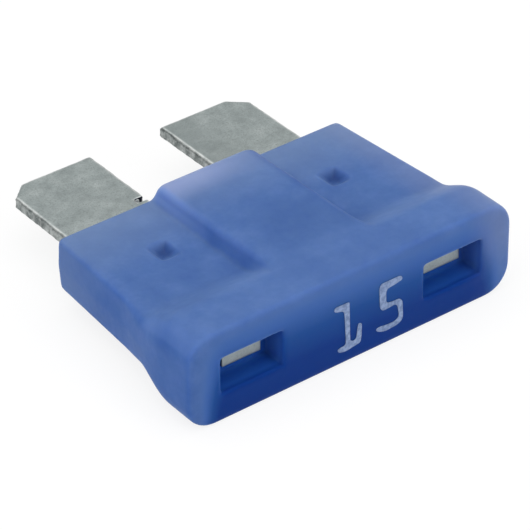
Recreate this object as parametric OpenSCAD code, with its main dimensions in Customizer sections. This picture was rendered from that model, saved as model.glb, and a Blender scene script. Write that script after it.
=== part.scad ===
// Automotive blade fuse, regular size, lying flat on one of its large faces.
// A moulded housing closes over one stamped metal element. The two blades of the
// element point along +Y, the head of the housing with its two probe windows lies
// at -Y, X runs across both blades and +Z is up through the thickness.
// The origin is under the middle of the fuse, on the surface that it lies on.

/* [Housing head] */
// Width of the head across both ends
head_w = 19.1; // [18.7:0.1:19.5]
// Thickness of the head, the thickest place of the fuse
head_t = 5.1; // [4.9:0.05:5.4]
// Length over which the head keeps its full width
head_l = 1.9; // [1.6:0.1:2.2]
// Length over which the width draws in from the head to the body
step_l = 4.5; // [4:0.1:5]
// Corner radius of the head, seen on its end face
head_r = 1.4; // [1.1:0.05:1.5]
// Rounding of the edge around the end face
front_r = 0.25; // [0.15:0.05:0.4]

/* [Housing body] */
// Length of the moulding from its end face to its blade end
body_l = 12.05; // [11.8:0.05:12.4]
// Body width at its root, before the draft narrows it
body_w_root = 18.3; // [17.9:0.1:18.6]
// Body width at the blade end
body_w_tip = 17.1; // [16.9:0.1:17.6]
// Thickness of the wings where they leave the head
wing_t_root = 3.1; // [2.9:0.05:3.4]
// Thickness of the wings at the blade end
wing_t_tip = 2.9; // [2.7:0.05:3.1]
// Where the slope from the head down to the wings begins, from the end face
slope_from = 2; // [1.6:0.1:2.3]
// Where that slope ends
slope_to = 4.6; // [4.2:0.1:5]
// Radius of the long side edges of the wings
side_r = 0.25; // [0.15:0.05:0.5]
// Draft of the side faces on either side of the parting line
side_draft = 0.08; // [0.05:0.01:0.15]
// Rounding of the edge around the blade end
end_r = 0.25; // [0.15:0.05:0.4]

/* [Hub over the fusible link] */
// Width of the raised hub between the wings
hub_w = 6; // [5.8:0.1:6.6]
// Thickness of the hub at the blade end
hub_t_tip = 4.7; // [4.5:0.05:4.9]
// Radius of the long top edges of the hub
hub_r = 0.5; // [0.3:0.05:0.7]
// Fillet at the foot of the hub walls
hub_fillet = 0.25; // [0.15:0.05:0.4]
// Rounding of the hub where it ends at the blades
hub_end_r = 0.8; // [0.5:0.1:1]
// Width of the chamber around the link
chamber_w = 5.1; // [4.8:0.1:5.4]
// Height of the chamber around the link
chamber_h = 2.5; // [2.1:0.1:2.8]
// Distance from the end face to the link chamber
chamber_from = 2.7; // [2.5:0.1:3.2]

/* [Probe windows] */
// Distance of each window's middle from the middle of the head
window_x = 5.95; // [5.7:0.05:6.1]
// Window width
window_w = 3.55; // [3.2:0.05:3.8]
// Window height
window_h = 1.95; // [1.6:0.05:2.2]
// Window depth
window_d = 1.35; // [1.2:0.05:1.5]

/* [Stake marks] */
// Distance of each stake mark from the middle of the fuse
stake_x = 5.1; // [4.9:0.05:5.4]
// Distance of the stake marks from the end face
stake_y = 8.05; // [7.6:0.05:8.6]
// Stake mark width at the surface
stake_w = 1.2; // [1:0.05:1.4]
// Stake mark length at the surface
stake_l = 1.45; // [1.2:0.05:1.8]
// Stake mark depth
stake_d = 0.4; // [0.3:0.05:0.5]
// How far each wall of a stake mark leans in over that depth
stake_lean = 0.12; // [0.05:0.01:0.2]
// Diameter of the plastic that each stake drives through its leg
post_d = 1.3; // [1.1:0.05:1.5]

/* [Fuse element] */
// Overall length of the fuse from the end face to the blade tips
fuse_l = 18.5; // [18.3:0.05:18.8]
// Sheet thickness of the element
sheet_t = 0.65; // [0.6:0.01:0.7]
// Blade width
blade_w = 5.15; // [5.05:0.05:5.25]
// Gap between the two blades
blade_gap = 4.2; // [4.15:0.05:4.4]
// Chamfer of each outer tip corner, across the blade
tip_x = 1; // [0.7:0.05:1.3]
// Chamfer of each outer tip corner, along the blade
tip_y = 0.9; // [0.6:0.05:1.2]
// Coined bevel along the edges of both blade faces
blade_bevel = 0.12; // [0.06:0.01:0.18]
// Width of the probe tab on top of each leg
tab_w = 2.25; // [2:0.05:2.4]
// Distance of the tab's edge from the end face
tab_y = 0.9; // [0.7:0.05:1]
// Distance of the leg's shoulder from the end face
shoulder_y = 2.45; // [2.2:0.05:2.7]
// Depth of the shear notch in each blade's inner edge, outside the housing
notch_x = 0.6; // [0.4:0.05:0.8]
// Width of that notch
notch_w = 0.28; // [0.2:0.02:0.36]
// Distance of that notch from the blade end of the housing
notch_y = 1.5; // [1.3:0.05:1.8]

/* [Fusible link] */
// Width of the link strip
link_w = 0.7; // [0.5:0.05:0.8]
// Thickness that the link is skived down to
link_t = 0.3; // [0.2:0.02:0.4]
// Distance between the two runs of the link, middle to middle
link_span = 2; // [1.8:0.1:2.2]
// Where the link leaves the legs, from the end face
link_root_y = 8.6; // [8:0.1:9.4]
// Where the middle of the link's bend lies, from the end face
link_bend_y = 4.6; // [4.3:0.1:5.2]

/* [Fits] */
// Clearance between the element and the slots of the housing, each side
slot_clear = 0.05; // [0.03:0.01:0.08]
// Clearance between a stake post and the hole in its leg
post_clear = 0.04; // [0.02:0.01:0.06]

/* [Hidden] */
mid_z = head_t / 2;
leg_in = blade_gap / 2;
leg_out = leg_in + blade_w;
blade_root_y = body_l - 0.6;
arc_n = 4;
wall_draft = 0.06;

function mix(a, b, t) = a * (1 - t) + b * t;
function clamp(t) = min(max(t, 0), 1);
function ease(a, b, t) = let (s = clamp((t - a) / (b - a))) s * s * (3 - 2 * s);
// how far a rounded edge of radius r has drawn in at the distance d from its end
function round_in(r, d) = d >= r ? 0 : r - sqrt(r * r - (r - d) * (r - d));

// One quarter of the housing's section at the distance y from the end face, from
// the middle of the top to the parting line. The width and the wing thickness ease
// from the head into the body, and the hub keeps standing between the wings.
function quarter(y) =
    let (
        narrow = ease(head_l, head_l + step_l, y),
        low = ease(slope_from, slope_to, y),
        along = clamp((y - head_l) / (body_l - head_l)),
        inset = round_in(front_r, y) + round_in(end_r, body_l - y),
        hub_in = round_in(hub_end_r, body_l - y),
        w = mix(head_w, mix(body_w_root, body_w_tip, along), narrow) / 2 - inset,
        h_wing = mix(head_t, mix(wing_t_root, wing_t_tip, along), low) / 2 - inset,
        h_hub = max(h_wing, mix(head_t, hub_t_tip, along) / 2 - max(inset, hub_in)),
        r = mix(head_r, side_r, narrow) - inset / 2,
        draft = side_draft * narrow,
        b = hub_w / 2 - hub_in / 2,
        drop = h_hub - h_wing,
        r_top = min(hub_r, 0.6 * drop),
        r_foot = min(hub_fillet, 0.3 * drop),
        x_flat = b + wall_draft + hub_fillet,
        x_edge = w - draft - r
    )
    concat(
        [for (s = [0, 1]) [s * (b - wall_draft - hub_r), h_hub]],
        [for (i = [1:arc_n]) let (a = 90 * i / arc_n)
            [b - wall_draft - hub_r * (1 - sin(a)), h_hub - r_top * (1 - cos(a))]],
        [for (i = [0:arc_n]) let (a = 90 * i / arc_n)
            [b + wall_draft + hub_fillet * (1 - cos(a)), h_wing + r_foot * (1 - sin(a))]],
        [for (s = [0.25, 0.6]) [mix(x_flat, x_edge, s), h_wing]],
        [for (i = [0:arc_n]) let (a = 90 * i / arc_n)
            [x_edge + r * sin(a), h_wing - r * (1 - cos(a))]],
        [for (i = [1:arc_n]) [x_edge + r + draft * i / arc_n, (h_wing - r) * (1 - i / arc_n)]]
    );

// The whole ring of a section, all four quarters, with no point twice.
function ring(y) =
    let (q = quarter(y), n = len(q) - 1)
    concat(
        [for (i = [0:n]) [q[i][0], y, mid_z + q[i][1]]],
        [for (i = [n - 1:-1:0]) [q[i][0], y, mid_z - q[i][1]]],
        [for (i = [1:n]) [-q[i][0], y, mid_z - q[i][1]]],
        [for (i = [n - 1:-1:1]) [-q[i][0], y, mid_z + q[i][1]]]
    );

stations = concat(
    [for (i = [0:3]) front_r * (1 - cos(30 * i))],
    [for (i = [0:10]) mix(slope_from, slope_to, i / 10)],
    [for (i = [1:5]) mix(slope_to, head_l + step_l, i / 5)],
    [for (i = [1:3]) mix(head_l + step_l, body_l - hub_end_r, i / 3)],
    [for (i = [1:3]) body_l - hub_end_r + (hub_end_r - end_r) * i / 3],
    [for (i = [1:3]) body_l - end_r + end_r * sin(30 * i)]
);

// A skin over rings that all have the same number of points. Each end is closed by
// a fan around its own middle point.
module loft(ys) {
    rings = [for (y = ys) ring(y)];
    n = len(rings[0]);
    m = len(rings);
    polyhedron(
        points = concat([for (r = rings) for (p = r) p],
            [[0, ys[0], mid_z], [0, ys[m - 1], mid_z]]),
        faces = concat(
            [for (i = [0:n - 1]) [n * m, i, (i + 1) % n]],
            [for (i = [0:n - 1]) [n * m + 1, (m - 1) * n + (i + 1) % n, (m - 1) * n + i]],
            [for (j = [0:m - 2]) for (i = [0:n - 1]) let (k = (i + 1) % n)
                [j * n + i, (j + 1) * n + i, (j + 1) * n + k]],
            [for (j = [0:m - 2]) for (i = [0:n - 1]) let (k = (i + 1) % n)
                [j * n + i, (j + 1) * n + k, j * n + k]]
        ),
        convexity = 6
    );
}

// One leg inside the housing, from its probe tab over the shoulder to the blade.
// grow widens the outline into the slot that the housing has around it.
module leg_outline(to_y, grow = 0) {
    translate([leg_in - grow, shoulder_y - grow])
        square([blade_w + 2 * grow, to_y - shoulder_y + grow]);
    translate([window_x - tab_w / 2 - grow, tab_y - grow])
        square([tab_w + 2 * grow, shoulder_y - tab_y]);
}

// The blade that stands out of the housing, with every edge drawn in by cut.
module blade_outline(cut) {
    polygon([
        [leg_in + cut, blade_root_y],
        [leg_in + cut, fuse_l - cut],
        [leg_out - tip_x - cut / 2, fuse_l - cut],
        [leg_out - cut, fuse_l - tip_y - cut / 2],
        [leg_out - cut, blade_root_y]
    ]);
}

module stake_post(d) {
    translate([stake_x, stake_y]) cylinder(d = d, h = 2 * sheet_t, center = true, $fn = 48);
}

module leg_plate() {
    difference() {
        union() {
            linear_extrude(sheet_t, center = true) leg_outline(blade_root_y + 0.1);
            hull() {
                linear_extrude(sheet_t - 2 * blade_bevel, center = true) blade_outline(0);
                linear_extrude(sheet_t, center = true) blade_outline(blade_bevel);
            }
        }
        stake_post(post_d + 2 * post_clear);
        translate([leg_in - 1, body_l + notch_y, -sheet_t])
            cube([1 + notch_x, notch_w, 2 * sheet_t]);
    }
}

// The fusible link: a thin strip that leaves one leg, bends round and joins the other.
module link_outline() {
    x = link_span / 2;
    difference() {
        translate([-x - link_w / 2, link_bend_y])
            square([2 * x + link_w, link_root_y - link_bend_y + link_w / 2]);
        translate([-x + link_w / 2, link_bend_y - 1])
            square([2 * x - link_w, link_root_y - link_bend_y + link_w + 2]);
    }
    intersection() {
        difference() {
            translate([0, link_bend_y]) circle(r = x + link_w / 2, $fn = 64);
            translate([0, link_bend_y]) circle(r = x - link_w / 2, $fn = 64);
        }
        translate([-x - link_w, link_bend_y - x - link_w])
            square([2 * (x + link_w), x + link_w]);
    }
    for (s = [-1, 1])
        translate([s > 0 ? x : -leg_in - 0.2, link_root_y - link_w / 2])
            square([leg_in + 0.2 - x, link_w]);
}

module fuse_element() {
    color([0.62, 0.65, 0.63])
        translate([0, -fuse_l / 2, mid_z]) {
            for (s = [0, 1]) mirror([s, 0, 0]) leg_plate();
            linear_extrude(link_t, center = true) link_outline();
        }
}

// Everything inside the housing that is not plastic: the slots for both legs, less
// the posts that are staked through them, and the chamber around the link.
module leg_slots() {
    for (s = [0, 1]) mirror([s, 0, 0])
        difference() {
            linear_extrude(sheet_t + 2 * slot_clear, center = true)
                leg_outline(body_l + 1, slot_clear);
            stake_post(post_d);
        }
}

module link_chamber() {
    translate([-chamber_w / 2, chamber_from, -chamber_h / 2])
        cube([chamber_w, body_l - chamber_from + 1, chamber_h]);
}

module probe_windows() {
    for (s = [-1, 1])
        translate([s * window_x - window_w / 2, -1, -window_h / 2])
            cube([window_w, window_d + 1, window_h]);
}

// Stake marks taper to their floor, and sink into the wing from both faces.
module stake_marks() {
    along = (stake_y - head_l) / (body_l - head_l);
    surface = mix(wing_t_root, wing_t_tip, along) / 2;
    floor_w = stake_w - 2 * stake_lean;
    floor_l = stake_l - 2 * stake_lean;
    for (face = [0, 1], s = [-1, 1])
        mirror([0, 0, face])
            translate([s * stake_x, stake_y, surface - stake_d])
                linear_extrude(2 * stake_d, scale = [2 * stake_w / floor_w - 1, 2 * stake_l / floor_l - 1])
                    square([floor_w, floor_l], center = true);
}

module housing() {
    color([0.25, 0.4, 0.68])
        translate([0, -fuse_l / 2, 0])
            difference() {
                loft(stations);
                translate([0, 0, mid_z]) {
                    leg_slots();
                    link_chamber();
                    probe_windows();
                    stake_marks();
                }
            }
}

housing();
fuse_element();
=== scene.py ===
"""Looks of a regular-size automotive blade fuse: translucent blue housing, zinc alloy element.

The housing and the figures are made in millimetres, with Y from the end face of the head and Z
from the middle of the thickness, and are then moved to metres in the frame of the CAD model.
The housing's section repeats the formula of the CAD source. The materials' masks are in
millimetres too, with Y from the end face of the head, and X and Z as in the frame.
"""

import math

import bmesh
import bpy
from mathutils import Matrix, Vector, noise


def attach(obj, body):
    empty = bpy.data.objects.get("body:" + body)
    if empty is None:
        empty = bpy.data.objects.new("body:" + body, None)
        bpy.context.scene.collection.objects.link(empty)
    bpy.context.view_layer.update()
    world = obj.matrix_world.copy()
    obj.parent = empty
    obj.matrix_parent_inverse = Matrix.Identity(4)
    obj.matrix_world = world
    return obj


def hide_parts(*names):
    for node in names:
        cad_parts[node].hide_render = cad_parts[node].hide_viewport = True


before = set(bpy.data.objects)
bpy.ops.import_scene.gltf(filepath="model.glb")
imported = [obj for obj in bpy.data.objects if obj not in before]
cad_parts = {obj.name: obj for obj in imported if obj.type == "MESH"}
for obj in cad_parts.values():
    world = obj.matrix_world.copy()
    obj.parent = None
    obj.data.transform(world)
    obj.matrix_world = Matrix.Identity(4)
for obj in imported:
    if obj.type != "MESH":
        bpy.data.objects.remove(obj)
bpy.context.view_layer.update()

MM = 0.001

# sizes of the CAD source
FUSE_L = 18.5
BODY_L = 12.05
HEAD_W, HEAD_T, HEAD_L, STEP_L, HEAD_R, FRONT_R = 19.1, 5.1, 1.9, 4.5, 1.4, 0.25
BODY_W_ROOT, BODY_W_TIP = 18.3, 17.1
WING_T_ROOT, WING_T_TIP = 3.1, 2.9
SLOPE_FROM, SLOPE_TO = 2.0, 4.6
SIDE_R, SIDE_DRAFT, END_R = 0.25, 0.08, 0.25
HUB_W, HUB_T_TIP, HUB_R, HUB_FILLET, HUB_END_R = 6.0, 4.7, 0.5, 0.25, 0.8
HUB_R_SHARE, HUB_FILLET_SHARE = 0.6, 0.3
WALL_DRAFT = 0.06
CHAMBER_W, CHAMBER_H, CHAMBER_FROM = 5.1, 2.5, 2.7
WINDOW_X, WINDOW_W, WINDOW_H, WINDOW_D = 5.95, 3.55, 1.95, 1.35
STAKE_X, STAKE_Y, STAKE_W, STAKE_L, STAKE_D = 5.1, 8.05, 1.2, 1.45, 0.4
POST_D = 1.3
SHEET_T, BLADE_W, BLADE_GAP, SLOT_CLEAR = 0.65, 5.15, 4.2, 0.05
TAB_W, TAB_Y, SHOULDER_Y = 2.25, 0.9, 2.45
NOTCH_X, NOTCH_W, NOTCH_Y = 0.6, 0.28, 1.5
MID_Z = HEAD_T / 2

# how far the paint of the figures stands proud of the end face, which is set back by as much
PROUD = 0.02
# how far a cutter reaches past the face that it cuts, and a post into the walls
OVERSHOOT, POST_SINK = 1.0, 0.15
# voxel sizes and smoothing turns that melt the edges, and the share of faces kept after it
QUICK_VOXEL, HOUSING_VOXEL, ELEMENT_VOXEL = 0.12, 0.07, 0.06
HOUSING_TURNS, ELEMENT_TURNS = 18, 2
HOUSING_KEEP, ELEMENT_KEEP = 0.4, 0.5
# a stake mark moves only what lies at least this far from the middle of the thickness
WING_SKIN = 0.8
# depth of the ripples on the blades' rims, and the scales of their long and short waves
RIPPLE = 0.09
LONG_WAVE, SHORT_WAVE = Vector((2.2, 2.2, 0.8)), Vector((6.0, 6.0, 2.0))


def mix(a, b, t):
    return a * (1 - t) + b * t


def clamp(t):
    return min(max(t, 0.0), 1.0)


def ease(a, b, t):
    s = clamp((t - a) / (b - a))
    return s * s * (3 - 2 * s)


def steps(a, b, n):
    """n places from a to b, evenly spaced, with b and without a."""
    return [mix(a, b, i / n) for i in range(1, n + 1)]


def quarter_turn(n):
    """Angles from 0 to a right angle in n steps."""
    return [math.pi / 2 * i / n for i in range(n + 1)]


def round_in(r, d):
    """How far a rounded edge of radius r has drawn in at the distance d from its end."""
    return 0.0 if d >= r else r - math.sqrt(max(r * r - (r - d) ** 2, 0.0))


ARC = quarter_turn(8)


def hub_points(x_hub, h_hub, h_wing):
    """The hub's flat top, its rounded shoulder and the fillet at its foot."""
    drop = h_hub - h_wing
    r_top = min(HUB_R, HUB_R_SHARE * drop)
    r_foot = min(HUB_FILLET, HUB_FILLET_SHARE * drop)
    x_top = x_hub - WALL_DRAFT - HUB_R
    x_foot = x_hub + WALL_DRAFT + HUB_FILLET
    points = [(x_top * s, h_hub) for s in (0, 0.5, 1)]
    points += [(x_top + HUB_R * math.sin(a), h_hub - r_top * (1 - math.cos(a))) for a in ARC[1:]]
    points += [(x_foot - HUB_FILLET * math.cos(a), h_wing + r_foot * (1 - math.sin(a))) for a in ARC]
    return points


def quarter(y):
    """One quarter of the housing's section, from the middle of the top to the parting line."""
    narrow = ease(HEAD_L, HEAD_L + STEP_L, y)
    low = ease(SLOPE_FROM, SLOPE_TO, y)
    along = clamp((y - HEAD_L) / (BODY_L - HEAD_L))
    inset = round_in(FRONT_R - PROUD, y - PROUD) + round_in(END_R, BODY_L - y)
    hub_in = round_in(HUB_END_R, BODY_L - y)
    half_w = mix(HEAD_W, mix(BODY_W_ROOT, BODY_W_TIP, along), narrow) / 2 - inset
    h_wing = mix(HEAD_T, mix(WING_T_ROOT, WING_T_TIP, along), low) / 2 - inset
    h_hub = max(h_wing, mix(HEAD_T, HUB_T_TIP, along) / 2 - max(inset, hub_in))
    r = mix(HEAD_R, SIDE_R, narrow) - inset / 2
    draft = SIDE_DRAFT * narrow
    x_hub = HUB_W / 2 - hub_in / 2
    x_flat = x_hub + WALL_DRAFT + HUB_FILLET
    x_edge = half_w - draft - r
    points = hub_points(x_hub, h_hub, h_wing)
    points += [(mix(x_flat, x_edge, s), h_wing) for s in (0.2, 0.4, 0.6, 0.8)]
    points += [(x_edge + r * math.sin(a), h_wing - r * (1 - math.cos(a))) for a in ARC]
    points += [(x_edge + r + draft * s, (h_wing - r) * (1 - s)) for s in steps(0, 1, 4)]
    return points


def ring(y):
    """The whole section at y, as points around it."""
    q = quarter(y)
    half = q + [(x, -z) for x, z in q[-2::-1]]
    return [(x, y, z) for x, z in half] + [(-x, y, z) for x, z in half[-2:0:-1]]


def stations():
    """Where the sections lie along Y, closest where the surface bends."""
    hub_end, end = BODY_L - HUB_END_R, BODY_L - END_R
    ys = [PROUD + (FRONT_R - PROUD) * (1 - math.cos(a)) for a in quarter_turn(6)]
    ys += steps(FRONT_R, SLOPE_FROM, 4)
    ys += steps(SLOPE_FROM, SLOPE_TO, 26)
    ys += steps(SLOPE_TO, hub_end, 12)
    ys += steps(hub_end, end, 8)
    ys += [end + END_R * math.sin(a) for a in quarter_turn(6)[1:]]
    return ys


def new_object(name, bm):
    mesh = bpy.data.meshes.new(name)
    bm.to_mesh(mesh)
    bm.free()
    obj = bpy.data.objects.new(name, mesh)
    bpy.context.scene.collection.objects.link(obj)
    return obj


def bridge(bm, a, b):
    """Faces between two closed rows of vertices."""
    for i in range(len(a)):
        k = (i + 1) % len(a)
        bm.faces.new((a[i], b[i], b[k], a[k]))


def closed_object(name, rows):
    """A closed object through rows of points, each row one section of it."""
    bm = bmesh.new()
    rings = [[bm.verts.new(p) for p in row] for row in rows]
    for a, b in zip(rings, rings[1:]):
        bridge(bm, a, b)
    bm.faces.new(rings[0])
    bm.faces.new(rings[-1][::-1])
    bmesh.ops.recalc_face_normals(bm, faces=bm.faces)
    return new_object(name, bm)


def prism(name, corners, half_h):
    """A straight prism over a polygon of x, y corners, as far down as up."""
    return closed_object(name, [[(x, y, z) for x, y in corners] for z in (-half_h, half_h)])


def rect(x0, x1, y0, y1):
    return [(x0, y0), (x1, y0), (x1, y1), (x0, y1)]


def side_cutters(s):
    """The slot and the window of one side, where s is -1 or 1."""
    leg_in = BLADE_GAP / 2 - SLOT_CLEAR
    leg_out = BLADE_GAP / 2 + BLADE_W + SLOT_CLEAR
    tab_in = WINDOW_X - TAB_W / 2 - SLOT_CLEAR
    tab_out = WINDOW_X + TAB_W / 2 + SLOT_CLEAR
    shoulder, end = SHOULDER_Y - SLOT_CLEAR, BODY_L + OVERSHOOT
    slot = [(leg_in, shoulder), (tab_in, shoulder), (tab_in, TAB_Y), (tab_out, TAB_Y),
            (tab_out, shoulder), (leg_out, shoulder), (leg_out, end), (leg_in, end)]
    window = rect(s * WINDOW_X - WINDOW_W / 2, s * WINDOW_X + WINDOW_W / 2, -OVERSHOOT, WINDOW_D)
    return [prism("slot", [(s * x, y) for x, y in slot], SHEET_T / 2 + SLOT_CLEAR),
            prism("window", window, WINDOW_H / 2)]


def hollow_cutters():
    """The link chamber, slots and windows, each as one closed cutter."""
    chamber = rect(-CHAMBER_W / 2, CHAMBER_W / 2, CHAMBER_FROM, BODY_L + OVERSHOOT)
    return [prism("chamber", chamber, CHAMBER_H / 2)] + side_cutters(-1) + side_cutters(1)


def evaluated(obj, name):
    """A new object with obj's mesh after its modifiers. obj is deleted."""
    graph = bpy.context.evaluated_depsgraph_get()
    mesh = bpy.data.meshes.new_from_object(obj.evaluated_get(graph))
    mesh.name = name
    made = bpy.data.objects.new(name, mesh)
    bpy.context.scene.collection.objects.link(made)
    bpy.data.objects.remove(obj)
    return made


def cut(obj, cutters):
    for c in cutters:
        m = obj.modifiers.new(c.name, "BOOLEAN")
        m.operation, m.solver, m.object = "DIFFERENCE", "EXACT", c
    made = evaluated(obj, obj.name + "_cut")
    for c in cutters:
        bpy.data.objects.remove(c)
    return made


def add_posts(obj):
    """The posts of plastic that staking drives through the legs: they melt into both walls."""
    bm = bmesh.new()
    bm.from_mesh(obj.data)
    for s in (-1, 1):
        bmesh.ops.create_cone(
            bm, cap_ends=True, segments=32, radius1=POST_D / 2, radius2=POST_D / 2,
            depth=SHEET_T + 2 * POST_SINK, matrix=Matrix.Translation((s * STAKE_X, STAKE_Y, 0)))
    bm.to_mesh(obj.data)
    bm.free()


def to_frame(obj):
    """From millimetres around the middle of the thickness to metres in the CAD frame."""
    obj.data.transform(Matrix.Scale(MM, 4) @ Matrix.Translation((0, -FUSE_L / 2, MID_Z)))
    obj.data.shade_smooth()


def soften(obj, voxel, turns):
    """Melts every edge to a small radius."""
    m = obj.modifiers.new("remesh", "REMESH")
    m.mode, m.adaptivity = "VOXEL", 0.0
    m.voxel_size = voxel
    m = obj.modifiers.new("smooth", "SMOOTH")
    m.factor, m.iterations = 0.5, turns
    return evaluated(obj, obj.name + "_soft")


def thin_out(obj, keep):
    """Keeps only that share of the faces, most of them where the surface bends."""
    m = obj.modifiers.new("thin", "DECIMATE")
    m.decimate_type, m.ratio = "COLLAPSE", keep
    return evaluated(obj, obj.name + "_thin")


def press_stakes(obj):
    """Presses the four stake marks into the wings, each a soft dimple as deep as the CAD's."""
    for v in obj.data.vertices:
        x, y, z = v.co
        if abs(z) < WING_SKIN:
            continue
        u = (abs(x) - STAKE_X) / (STAKE_W / 2)
        w = (y - STAKE_Y) / (STAKE_L / 2)
        far = (u ** 4 + w ** 4) ** 0.25  # 1 all along the mark's rounded edge
        v.co.z -= math.copysign(STAKE_D * (1 - ease(0.25, 1.2, far)), z)


def make_housing():
    body = cut(closed_object("housing", [ring(y) for y in stations()]), hollow_cutters())
    add_posts(body)
    body = soften(body, HOUSING_VOXEL, HOUSING_TURNS)
    press_stakes(body)
    body = thin_out(body, HOUSING_KEEP)
    body.name = "housing_moulding"
    to_frame(body)
    return body


def ripple_rims(strip):
    """Ripples the rims of the blades, which are in the CAD frame here, and always inwards."""
    bm = bmesh.new()
    bm.from_mesh(strip.data)
    bm.normal_update()
    for v in bm.verts:
        if v.co.y < BODY_L - FUSE_L / 2:
            continue
        ripple = noise.noise(v.co * LONG_WAVE) + 0.5 * noise.noise(v.co * SHORT_WAVE)
        on_rim = 1 - abs(v.normal.z)
        v.co -= v.normal * RIPPLE * on_rim * clamp(0.5 + ripple)
    bm.to_mesh(strip.data)
    bm.free()


def make_element(cad_node):
    """The stamped strip: the CAD mesh with worn edges and the slight waviness of sheared metal."""
    bm = bmesh.new()
    bm.from_mesh(cad_node.data)
    bm.transform(Matrix.Scale(1 / MM, 4) @ cad_node.matrix_world)
    strip = new_object("element", bm)
    strip = thin_out(soften(strip, ELEMENT_VOXEL, ELEMENT_TURNS), ELEMENT_KEEP)
    ripple_rims(strip)
    strip.name = "element_strip"
    strip.data.transform(Matrix.Scale(MM, 4))
    strip.data.shade_smooth()
    return strip


# outlines of the rating figures on the end face, as x and height above the underside
FIGURES = {
    "figure_one": [
        (-1.26, 3.52), (-0.33, 3.50), (-0.27, 1.21), (0.01, 1.16), (0.09, 1.81), (0.17, 2.05),
        (0.42, 1.96), (0.41, 1.22), (0.33, 0.83), (-0.21, 0.75), (-0.56, 0.69), (-1.01, 0.78),
        (-1.11, 1.01), (-0.93, 1.12), (-0.61, 1.11), (-0.61, 1.42), (-0.69, 2.86), (-0.74, 3.06),
        (-1.05, 3.13), (-1.31, 3.24)],
    "figure_five": [
        (1.49, 3.67), (2.64, 3.68), (2.83, 3.55), (2.82, 3.33), (2.35, 3.23), (1.94, 3.19),
        (1.86, 3.06), (1.88, 2.44), (2.35, 2.38), (2.66, 2.38), (2.86, 2.15), (2.91, 1.18),
        (2.78, 0.96), (2.53, 0.85), (1.85, 0.79), (1.57, 0.85), (1.22, 1.02), (1.22, 1.22),
        (1.45, 1.27), (1.84, 1.20), (2.28, 1.18), (2.52, 1.26), (2.58, 1.40), (2.50, 1.93),
        (2.37, 2.09), (1.87, 2.03), (1.59, 2.04), (1.43, 2.28), (1.37, 3.42)],
}
# how far their corners are cut, first and again, and how much thinner the strokes then get
FIRST_CUT, SECOND_CUT, STROKE_IN = 0.08, 0.03, 0.04
# thickness of the paint, most of it sunk into the end face
PAINT_T = 3 * PROUD


def round_corners(points, length):
    """Cuts every corner of a closed outline by length, or by a quarter of a shorter side."""
    rounded = []
    for p, q in zip(points, points[1:] + points[:1]):
        t = min(0.25, length / math.dist(p, q))
        rounded += [(mix(p[0], q[0], s), mix(p[1], q[1], s)) for s in (t, 1 - t)]
    return rounded


def thinner(points, d):
    """A closed outline that runs clockwise, drawn in by d."""
    drawn = []
    for p, q, r in zip(points[-1:] + points[:-1], points, points[1:] + points[:1]):
        along = (Vector(q) - Vector(p)).normalized() + (Vector(r) - Vector(q)).normalized()
        along.normalize()
        drawn.append((q[0] + along.y * d, q[1] - along.x * d))
    return drawn


def make_figure(name, outline, material):
    """A flat figure of paint from the front of the frame's box to just inside the end face."""
    outline = round_corners(round_corners(outline, FIRST_CUT), SECOND_CUT)
    outline = thinner(outline, STROKE_IN)
    rows = [[(x, y, z - MID_Z) for x, z in outline] for y in (0.0, PAINT_T)]
    figure = closed_object(name, rows)
    figure.data.materials.append(material)
    to_frame(figure)
    figure.data.shade_flat()
    return figure


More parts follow.
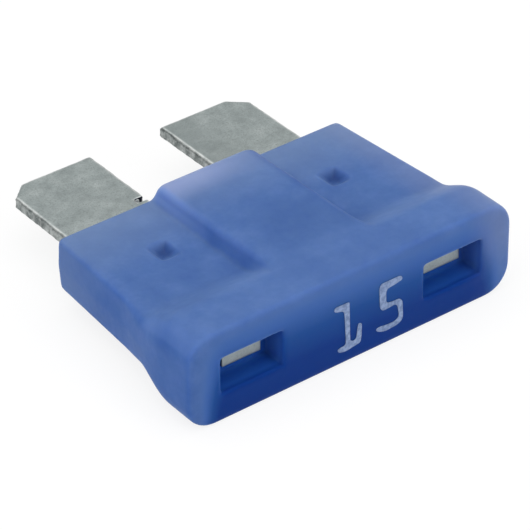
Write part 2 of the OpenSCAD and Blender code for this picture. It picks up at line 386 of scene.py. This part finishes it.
class Nodes:
    """A short way to write a material's node tree.

    A mask that changes along a value gets two ends, each as (value there, result there).
    """

    def __init__(self, name):
        self.material = bpy.data.materials.new(name)
        self.material.use_nodes = True
        self.tree = self.material.node_tree
        self.tree.nodes.clear()

    def put(self, value, socket):
        """Links another node's output to the socket, or sets it to a plain value."""
        if isinstance(value, bpy.types.NodeSocket):
            self.tree.links.new(value, socket)
        else:
            socket.default_value = value

    def add(self, kind, inputs=None, **settings):
        node = self.tree.nodes.new("ShaderNode" + kind)
        for key, value in settings.items():
            setattr(node, key, value)
        for key, value in (inputs or {}).items():
            self.put(value, node.inputs[key])
        return node

    def stretched(self, vector, factors):
        inputs = {0: vector, 1: factors}
        return self.add("VectorMath", inputs, operation="MULTIPLY").outputs[0]

    def noise(self, vector, scale, detail=3.0, roughness=0.5):
        inputs = {"Vector": vector, "Scale": scale, "Detail": detail, "Roughness": roughness}
        return self.add("TexNoise", inputs).outputs["Fac"]

    def ramp(self, fac, stops):
        node = self.add("ValToRGB", {"Fac": fac})
        first, last = node.color_ramp.elements[0], node.color_ramp.elements[1]
        first.position, last.position = stops[0][0], stops[-1][0]
        first.color, last.color = stops[0][1], stops[-1][1]
        for position, color in stops[1:-1]:
            node.color_ramp.elements.new(position).color = color
        return node.outputs["Color"]

    def scaled(self, value, start, stop, kind="LINEAR"):
        inputs = {"Value": value, "From Min": start[0], "From Max": stop[0],
                  "To Min": start[1], "To Max": stop[1]}
        return self.add("MapRange", inputs, interpolation_type=kind).outputs["Result"]

    def eased(self, value, start, stop):
        return self.scaled(value, start, stop, "SMOOTHSTEP")

    def math(self, operation, a, b=0.0):
        return self.add("Math", {0: a, 1: b}, operation=operation).outputs[0]

    def times(self, first, *others):
        for other in others:
            first = self.math("MULTIPLY", first, other)
        return first

    def off(self, value, middle):
        """Distance of a value from the middle."""
        return self.math("ABSOLUTE", self.math("SUBTRACT", value, middle))

    def occlusion(self, distance, **settings):
        inputs = {"Distance": distance}
        node = self.add("AmbientOcclusion", inputs, samples=6, only_local=True, **settings)
        return node.outputs["AO"]

    def mixed(self, fac, a, b, blend="MIX"):
        """Mixes two colours. The numbers are the Mix node's sockets for its factor and colours."""
        inputs = {0: fac, 6: a, 7: b}
        return self.add("Mix", inputs, data_type="RGBA", blend_type=blend).outputs[2]

    def bump(self, height, strength, distance, normal=None):
        inputs = {"Height": height, "Strength": strength, "Distance": distance}
        if normal is not None:
            inputs["Normal"] = normal
        return self.add("Bump", inputs).outputs["Normal"]

    def surface(self, kind, inputs):
        """The finished material, with a shader of this kind on its surface."""
        shader = self.add(kind, inputs)
        self.add("OutputMaterial", {"Surface": shader.outputs[0]})
        return self.material


class Spot:
    """The shaded point: its place in millimetres, with y from the end face, and its normal."""

    def __init__(self, n):
        coords = n.add("TexCoord").outputs
        self.place = n.stretched(coords["Object"], (1 / MM,) * 3)
        self.x, y, self.z = n.add("SeparateXYZ", {0: self.place}).outputs
        self.y = n.math("ADD", y, FUSE_L / 2)
        normal = n.add("SeparateXYZ", {0: coords["Normal"]}).outputs
        self.normal_x, self.normal_y, self.normal_z = normal


def srgb(r, g, b):
    """A colour given as it looks on screen, 0 to 255, as linear values."""
    def linear(c):
        c /= 255
        return c / 12.92 if c <= 0.04045 else ((c + 0.055) / 1.055) ** 2.4
    return (linear(r), linear(g), linear(b), 1.0)


def painted(n, at, base, layers):
    """The base colour under layers, each a mask and the colour that it mixes in."""
    for mask, colour in layers:
        base = n.mixed(mask(n, at), base, colour)
    return base


# masks of the plastic, from 0 to 1, most of them painted light or shade: n writes their nodes, and
# at is the shaded spot


def pale_blade_end(n, at):
    """Light from behind pales the plastic towards the blades."""
    return n.scaled(at.y, (BODY_L - 4.5, 0.0), (BODY_L, 0.45))


def painted_hub_end_highlight(n, at):
    """Painted highlight on the blade end of the hub, strongest at its -X side."""
    foot, top = MID_Z + WING_T_ROOT / 2, MID_Z + HUB_T_TIP / 2
    on_hub = n.eased(at.z, (foot + 0.1, 0.0), (top - 0.1, 1.0))
    at_end = n.eased(at.y, (BODY_L - 2.8, 0.0), (BODY_L - 0.7, 0.75))
    return n.times(on_hub, at_end, n.eased(at.x, (-1.2, 1.0), (2.6, 0.25)))


def painted_depth_shade(n, at):
    """Painted shade: how much plastic light from above crosses, as a share of the head's thickness.

    The thick head is painted deeper and bluer low on its end face, as shade. It stays light at both
    ends and everywhere behind the head, where light gets in from the sides.
    """
    deep = n.scaled(at.z, (0.0, 1.0), (HEAD_T, 0.0))
    window_end, head_end = WINDOW_X + WINDOW_W / 2, HEAD_W / 2
    off_end = n.eased(n.off(at.x, 0.0), (window_end - 0.4, 1.0), (head_end - 0.3, 0.0))
    in_head = n.eased(at.y, (WINDOW_D, 1.0), (WINDOW_D + 1.5, 0.0))
    not_under = n.scaled(at.normal_z, (-1.0, 0.0), (-0.2, 1.0))
    return n.times(deep, off_end, in_head, not_under)


def in_window(n, at):
    """1 on the walls and floor of both probe windows, easing to 0 at their rims."""
    skin = 0.15
    off_x = n.off(n.off(at.x, 0.0), WINDOW_X)
    off_z = n.off(at.z, MID_Z)
    within_x = n.math("LESS_THAN", off_x, WINDOW_W / 2 + skin)
    within_z = n.math("LESS_THAN", off_z, WINDOW_H / 2 + skin)
    within_y = n.math("LESS_THAN", at.y, WINDOW_D + 2 * skin)
    return n.times(within_x, within_z, within_y, n.eased(at.y, (0.05, 0.0), (0.45, 1.0)))


def window_side(n, at):
    """The side walls of the windows that face -X, which catch more light."""
    return n.times(in_window(n, at), n.scaled(at.normal_x, (-0.9, 0.8), (-0.3, 0.0)))


def painted_rear_edge_highlight(n, at):
    """Painted highlight along the top of the head where the slope starts."""
    over_slope = n.eased(at.y, (SLOPE_FROM, 1.0), (SLOPE_TO, 0.0))
    return n.times(over_slope, n.eased(at.z, (HEAD_T - 0.5, 0.0), (HEAD_T - 0.1, 0.08)))


def behind_slope(n, at):
    """1 behind the slope, on the wings and the hub between them."""
    return n.eased(at.y, (SLOPE_TO - 1.0, 0.0), (SLOPE_TO, 1.0))


def lit_hub_wall(n, at):
    """The hub's side wall at -X: its top edge, and all of it at the blade end."""
    off_wall = n.off(at.x, -HUB_W / 2)
    above_wing = n.math("SUBTRACT", n.off(at.z, MID_Z), WING_T_ROOT / 2)
    near_wall = n.eased(off_wall, (0.15, 1.0), (0.5, 0.0))
    at_wall = n.times(near_wall, n.eased(above_wing, (-0.1, 0.3), (0.2, 1.0)))
    top_edge = n.eased(above_wing, (0.3, 0.0), (0.6, 0.15))
    blade_end = n.eased(at.y, (6.6, 0.0), (10.6, 0.8))
    return n.times(at_wall, n.math("MAXIMUM", top_edge, blade_end), behind_slope(n, at))


def painted_slope_light(n, at):
    """Painted light on the slope behind the head, fading out towards the -X side."""
    faces_back = n.eased(at.normal_y, (0.05, 0.0), (0.4, 1.0))
    near_head = n.math("LESS_THAN", at.y, SLOPE_TO + 0.9)
    return n.times(faces_back, near_head, n.eased(at.x, (-7.5, 0.0), (-3.5, 0.2)))


def painted_shoulder_light(n, at):
    """Painted light on the rounded end of the head at -X."""
    faces_left = n.eased(at.normal_x, (-0.7, 0.35), (-0.3, 0.0))
    faces_up = n.eased(at.normal_z, (0.25, 0.0), (0.5, 1.0))
    on_head = n.eased(at.y, (3.5, 1.0), (4.5, 0.0))
    return n.times(faces_left, faces_up, on_head, n.eased(at.x, (-8.4, 1.0), (-7.9, 0.0)))


def painted_hub_root_shade(n, at):
    """The patch of painted shade where the hub grows out of the head."""
    middle_x, middle_y = 1.6, 4.8
    near_x = n.eased(n.off(at.x, middle_x), (0.8, 0.35), (4.0, 0.0))
    near_y = n.eased(n.off(at.y, middle_y), (0.8, 1.0), (2.8, 0.0))
    return n.times(near_x, near_y, n.eased(at.normal_z, (0.0, 0.0), (0.5, 1.0)))


def painted_right_end_light(n, at):
    """Painted light on the upper part of the head's and the wing's end at +X."""
    return n.times(n.eased(at.x, (6.4, 0.0), (8.8, 0.3)), n.eased(at.z, (0.8, 0.1), (3.6, 1.0)))


def painted_left_side_shade(n, at):
    """Painted shade on every face that looks towards -X."""
    return n.scaled(at.normal_x, (-1.0, 0.3), (-0.4, 0.0))


def painted_hub_edge_shade(n, at):
    """Painted shade on the hub's top edge at +X, most towards the blades."""
    near_edge = n.eased(n.off(at.x, HUB_W / 2), (0.2, 0.5), (0.9, 0.0))
    on_top = n.scaled(at.z, (3.9, 0.0), (4.3, 1.0))
    blade_end = n.eased(at.y, (BODY_L - 6.0, 0.6), (BODY_L - 3.0, 1.0))
    return n.times(near_edge, on_top, blade_end, behind_slope(n, at))


def painted_stake_shade(n, at):
    """A soft spot of painted shade in each stake mark, a little off its middle."""
    shift_x, shift_y = 0.15, 0.2
    off_x = n.off(n.off(at.x, shift_x), STAKE_X)
    off_y = n.off(at.y, STAKE_Y + shift_y)
    return n.eased(n.math("MAXIMUM", off_x, off_y), (0.12, 0.65), (0.5, 0.0))


def painted_right_rim_shade(n, at):
    """Painted shade on the outermost strip of the head's end at +X."""
    outermost = n.eased(at.x, (HEAD_W / 2 - 0.3, 0.0), (HEAD_W / 2 - 0.02, 0.6))
    return n.times(outermost, n.scaled(at.normal_x, (0.5, 0.0), (0.95, 1.0)))


def painted_crevice_shade(n, at):
    """Painted shade in inner corners, except at the blade end."""
    open_around = n.occlusion(0.9 * MM)
    off_end = n.eased(at.y, (BODY_L - 6.0, 1.0), (BODY_L - 3.0, 0.0))
    return n.times(n.scaled(open_around, (0.35, 0.2), (0.95, 0.0)), off_end)


def painted_end_rim_shade(n, at):
    """The thin rim of painted shade around the housing's end, less on its top."""
    at_end = n.eased(at.y, (BODY_L - 0.3, 0.0), (BODY_L - 0.02, 0.75))
    return n.times(at_end, n.scaled(at.normal_z, (0.3, 1.0), (1.0, 0.5)))


BODY_BLUES = ((0.3, srgb(70, 102, 162)), (0.5, srgb(79, 111, 169)), (0.7, srgb(90, 121, 178)))
DEPTH_SHADE_BLUES = ((0.0, srgb(86, 120, 180)), (0.22, srgb(66, 104, 172)), (0.42, srgb(32, 80, 150)),
              (0.7, srgb(8, 56, 134)), (1.0, srgb(2, 52, 132)))
EDGE_SHADE = (0.72, 0.76, 0.8, 1.0)
# painted light and a painted highlight, under the painted depth shade
LAYERS_UNDER_DEPTH = (
    (pale_blade_end, srgb(134, 154, 182)),
    (painted_hub_end_highlight, srgb(150, 164, 206)),
)
# painted light and shade, place by place, over the painted depth shade
LAYERS_OVER_DEPTH = (
    # painted shade: the windows' walls and floor in a darker blue than the body
    (in_window, srgb(34, 88, 174)),
    (window_side, srgb(72, 120, 200)),
    (painted_rear_edge_highlight, srgb(120, 150, 206)),
    (lit_hub_wall, srgb(122, 150, 204)),
    (painted_slope_light, srgb(108, 138, 194)),
    (painted_shoulder_light, srgb(108, 138, 194)),
    (painted_hub_root_shade, srgb(58, 90, 148)),
    (painted_right_end_light, srgb(146, 154, 182)),
    (painted_left_side_shade, srgb(46, 98, 186)),
    (painted_hub_edge_shade, srgb(50, 82, 148)),
    (painted_stake_shade, srgb(30, 62, 128)),
    (painted_right_rim_shade, srgb(56, 80, 150)),
    (painted_crevice_shade, srgb(40, 80, 156)),
    (painted_end_rim_shade, srgb(56, 88, 150)),
)


def plastic_color(n, at):
    """Blue clouds, with painted shade low on the head's end face, and painted light and shade at
    many places over them.
    """
    base = n.ramp(n.noise(at.place, 0.5, 5.0, 0.65), BODY_BLUES)
    base = painted(n, at, base, LAYERS_UNDER_DEPTH)
    # painted shade: deeper, bluer colour low on the head's end face
    depth = painted_depth_shade(n, at)
    base = n.mixed(n.scaled(depth, (0.0, 0.0), (0.15, 1.0)), base, n.ramp(depth, DEPTH_SHADE_BLUES))
    base = painted(n, at, base, LAYERS_OVER_DEPTH)
    # painted shade on the convex edges
    open_inside = n.occlusion(0.4 * MM, inside=True)
    on_edge = n.scaled(open_inside, (0.4, 1.0), (0.95, 0.0))
    return n.mixed(on_edge, base, EDGE_SHADE, "MULTIPLY")


def plastic_material():
    n = Nodes("translucent_blue_plastic")
    at = Spot(n)
    waves = n.bump(n.noise(at.place, 0.8, 2.0), 0.35, 0.08 * MM)
    grain = n.bump(n.noise(at.place, 14.0, 2.0), 0.25, 0.012 * MM, waves)
    return n.surface("BsdfPrincipled", {
        "Base Color": plastic_color(n, at),
        "Roughness": n.scaled(n.noise(at.place, 3.0), (0.0, 0.42), (1.0, 0.56)),
        "Normal": grain,
        "IOR": 1.5,
        "Specular IOR Level": 0.1,
        "Subsurface Weight": 1.0,
        "Subsurface Radius": (0.7, 0.8, 1.0),
        "Subsurface Scale": 0.7 * MM,
    })


# masks of the metal, in the same form


def specks(n, at):
    """Small dark pits all over."""
    return n.scaled(n.noise(at.place, 13.0, 4.0, 0.8), (0.36, 0.45), (0.5, 0.0))


def right_blade_shade(n, at):
    """The blade at +X is a little darker towards its inner edge."""
    inner = n.eased(at.x, (BLADE_GAP / 2, 0.5), (BLADE_GAP / 2 + 2.8, 0.0))
    return n.times(inner, n.math("GREATER_THAN", at.x, 0.0))


def from_notch(n, at):
    """Distance from the shear notches of the blades, below 0 inside them."""
    off_y = n.off(at.y, BODY_L + NOTCH_Y + NOTCH_W / 2)
    past_end = n.math("SUBTRACT", n.off(at.x, 0.0), BLADE_GAP / 2 + NOTCH_X)
    return n.math("MAXIMUM", n.math("SUBTRACT", off_y, NOTCH_W / 2), past_end)


def painted_rim_highlights(n, at):
    """Painted highlights along the rims of the blades, in patches, half as wide around the notches.
    """
    across = n.off(at.x, 0.0)
    from_inner = n.math("SUBTRACT", across, BLADE_GAP / 2)
    from_outer = n.math("SUBTRACT", BLADE_GAP / 2 + BLADE_W, across)
    from_tip = n.math("SUBTRACT", FUSE_L, at.y)
    around_notch = n.times(n.math("MAXIMUM", from_notch(n, at), 0.0), 2.0)
    from_rim = n.math("MINIMUM", from_inner, from_outer)
    from_rim = n.math("MINIMUM", n.math("MINIMUM", from_rim, from_tip), around_notch)
    # patches that break up the painted highlights
    wear_and_sheen = n.scaled(n.noise(at.place, 2.2, 3.0), (0.35, 0.4), (0.6, 1.0))
    return n.times(n.eased(from_rim, (0.12, 1.0), (0.26, 0.0)), wear_and_sheen)


def probe_tabs(n, at):
    """The tabs behind the windows, which get less light."""
    return n.eased(at.y, (TAB_Y + 0.4, 0.45), (TAB_Y + 1.0, 0.0))


def painted_notch_shade(n, at):
    """Painted shade on the walls of the shear notches, almost black."""
    near_notch = n.math("LESS_THAN", from_notch(n, at), 0.06)
    return n.times(near_notch, n.scaled(n.off(at.normal_z, 0.0), (0.5, 1.0), (0.9, 0.0)))


def sheared_and_shaded_sides(n, at):
    """Dark streaks on the sides that face across the fuse: the sheared metal's own streaks, made
    darker by painted shade on those sides.
    """
    facing = n.scaled(n.off(at.normal_x, 0.0), (0.35, 0.0), (0.8, 1.0))
    streaks = n.noise(n.stretched(at.place, (2.4, 2.4, 2.0)), 1.0, 4.0, 0.7)
    return n.times(facing, n.scaled(streaks, (0.36, 0.5), (0.6, 0.9)))


ALLOY_GREYS = ((0.3, srgb(176, 186, 186)), (0.5, srgb(193, 203, 202)), (0.72, srgb(212, 220, 219)))
METAL_LAYERS = (
    (specks, srgb(120, 130, 128)),
    (right_blade_shade, srgb(160, 170, 170)),
    (painted_rim_highlights, srgb(246, 250, 248)),
    (probe_tabs, srgb(112, 120, 124)),
    (painted_notch_shade, srgb(36, 40, 56)),
    (sheared_and_shaded_sides, srgb(84, 92, 92)),
)


def metal_material():
    n = Nodes("satin_zinc_alloy")
    at = Spot(n)
    mottle = n.noise(at.place, 1.3, 6.0, 0.75)
    dents = n.bump(mottle, 0.6, 0.03 * MM)
    pits = n.bump(n.noise(at.place, 13.0, 4.0, 0.8), 0.5, 0.01 * MM, dents)
    return n.surface("BsdfPrincipled", {
        "Base Color": painted(n, at, n.ramp(mottle, ALLOY_GREYS), METAL_LAYERS),
        "Metallic": 1.0,
        "Roughness": n.scaled(mottle, (0.0, 0.34), (1.0, 0.6)),
        "Normal": pits,
    })


PAINT_BLUES = ((0.36, srgb(100, 122, 164)), (0.62, srgb(142, 162, 200)))


def print_material():
    n = Nodes("pale_figure_paint")
    wear_and_sheen = n.noise(Spot(n).place, 5.0, 3.0, 0.6)
    return n.surface("BsdfPrincipled", {
        "Base Color": n.ramp(wear_and_sheen, PAINT_BLUES),
        "Roughness": n.scaled(wear_and_sheen, (0.0, 0.4), (1.0, 0.6)),
    })


WHITE = (1.0, 1.0, 1.0, 1.0)
FLOOR_WHITE = (0.7, 0.7, 0.7, 1.0)
SHADOW_GREY = (0.18, 0.18, 0.18, 1.0)
FLOOR_GLOW, SKY_LIGHT = 0.83, 0.45
FLOOR_HALF = 3.0  # half of its side, in metres


def floor_material():
    """White to the camera and in reflections, with the fuse's shadow; plain white for light."""
    n = Nodes("white_floor")
    plain = n.add("BsdfDiffuse", {"Color": FLOOR_WHITE})
    shadow = n.add("BsdfDiffuse", {"Color": SHADOW_GREY})
    glow = n.add("Emission", {"Color": WHITE, "Strength": FLOOR_GLOW})
    shown = n.add("AddShader", {0: shadow.outputs[0], 1: glow.outputs[0]})
    path = n.add("LightPath").outputs
    seen = n.math("MAXIMUM", path["Is Glossy Ray"], path["Is Transmission Ray"])
    seen = n.math("MAXIMUM", path["Is Camera Ray"], seen)
    return n.surface("MixShader", {0: seen, 1: plain.outputs[0], 2: shown.outputs[0]})


def make_floor():
    bm = bmesh.new()
    bmesh.ops.create_grid(bm, x_segments=1, y_segments=1, size=FLOOR_HALF)
    floor = new_object("floor", bm)
    floor.data.materials.append(floor_material())
    return floor


def make_world():
    world = bpy.data.worlds.new("studio")
    bpy.context.scene.world = world
    world.use_nodes = True
    background = world.node_tree.nodes["Background"]
    background.inputs["Color"].default_value = WHITE
    background.inputs["Strength"].default_value = SKY_LIGHT


# name, place and diameter in metres, power in watts, and whether reflections show it
LAMPS = (
    ("key", (-0.08, -0.05, 0.6), 1.0, 2.9, True),
    ("side", (-0.6, 0.05, 0.25), 0.4, 0.6, False),
    ("fill", (0.2, -0.6, 0.22), 0.4, 1.2, False),
)


def make_lamp(name, place, size, power, glossy):
    """A round lamp that points at the fuse."""
    lamp = bpy.data.lights.new(name, "AREA")
    lamp.shape, lamp.size, lamp.energy = "DISK", size, power
    obj = bpy.data.objects.new(name, lamp)
    bpy.context.scene.collection.objects.link(obj)
    obj.visible_glossy = glossy
    obj.location = place
    obj.rotation_euler = (-Vector(place)).to_track_quat("-Z", "Y").to_euler()


# the photograph's camera, solved from the fuse's own sizes: metres, degrees, millimetres
EYE = (-0.0737719, -0.1001885, 0.0869529)
AZIMUTH, ELEVATION, ROLL = -37.010, 34.855, -0.744
LENS, SENSOR = 211.5, 36.0


def camera_turn():
    az, el, roll = (math.radians(v) for v in (AZIMUTH, ELEVATION, ROLL))
    back = Vector((math.sin(az) * math.cos(el), -math.cos(az) * math.cos(el), math.sin(el)))
    right = Vector((math.cos(az), math.sin(az), 0))
    up = back.cross(right)
    x = right * math.cos(roll) + up * math.sin(roll)
    y = up * math.cos(roll) - right * math.sin(roll)
    return Matrix((x, y, back)).transposed().to_4x4()


def make_camera():
    camera = bpy.data.cameras.new("camera")
    camera.lens, camera.sensor_width = LENS, SENSOR
    camera.clip_start, camera.clip_end = 0.01, 10.0
    obj = bpy.data.objects.new("camera", camera)
    bpy.context.scene.collection.objects.link(obj)
    obj.matrix_world = Matrix.Translation(EYE) @ camera_turn()
    bpy.context.scene.camera = obj


def dress(obj, material):
    obj.data.materials.clear()
    obj.data.materials.append(material)


def add_housing():
    housing = make_housing()
    dress(housing, plastic_material())
    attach(housing, "root")
    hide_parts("housing")


def add_element():
    element = make_element(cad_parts["fuse_element"])
    dress(element, metal_material())
    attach(element, "root")
    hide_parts("fuse_element")


def add_figures():
    paint = print_material()
    for name, outline in FIGURES.items():
        figure = make_figure(name, outline, paint)
        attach(figure, "root")


def add_studio():
    bpy.context.scene.view_settings.view_transform = "Standard"
    make_floor()
    make_world()
    for lamp in LAMPS:
        make_lamp(*lamp)
    make_camera()


add_housing()
add_element()
add_figures()
add_studio()
